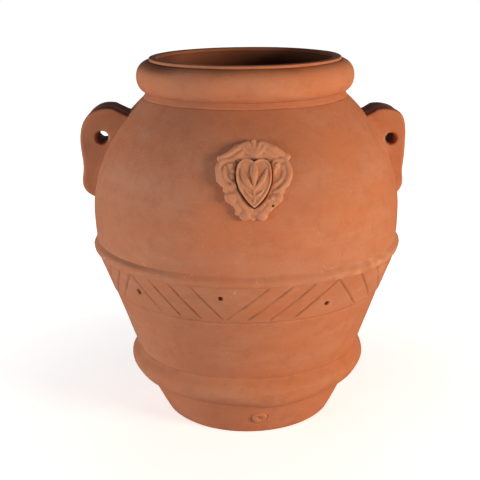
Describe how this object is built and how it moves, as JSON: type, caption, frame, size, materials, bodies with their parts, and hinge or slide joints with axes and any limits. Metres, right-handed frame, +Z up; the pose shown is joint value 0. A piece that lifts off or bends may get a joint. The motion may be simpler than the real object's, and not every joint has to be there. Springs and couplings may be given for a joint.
{
  "type": "amphora",
  "caption": "Round-bellied terracotta oil jar with a rolled collar, two pierced ears, an incised zigzag frieze between cordons and a scrolled medallion.",
  "frame": {"origin": "centre of the flat underside of the foot, on the jar's axis", "axes": "+Z up along the jar's axis; the medallion faces -Y; the ears stand at -X and +X"},
  "size_m": [0.5304, 0.515, 0.6],
  "materials": {
    "terracotta": "unglazed, smoothed by hand, matt",
    "terracotta_bare": "unglazed, rough from the drying board, matt",
    "terracotta_relief": "unglazed, pressed in a mould, matt"
  },
  "bodies": {
    "root": {"base_slab": "terracotta_bare", "foot_wall": "terracotta", "lower_wall": "terracotta", "frieze_band": "terracotta", "shoulder_wall": "terracotta", "lower_cordon": "terracotta", "belly_cordon": "terracotta", "neck_wall": "terracotta", "neck_fillet": "terracotta", "collar_roll": "terracotta", "lip_ring": "terracotta", "ear_right": "terracotta", "ear_left": "terracotta", "medallion_frame": "terracotta_relief", "medallion_shield": "terracotta_relief", "medallion_sprig": "terracotta_relief", "tap_boss": "terracotta"}
  },
  "joints": []
}
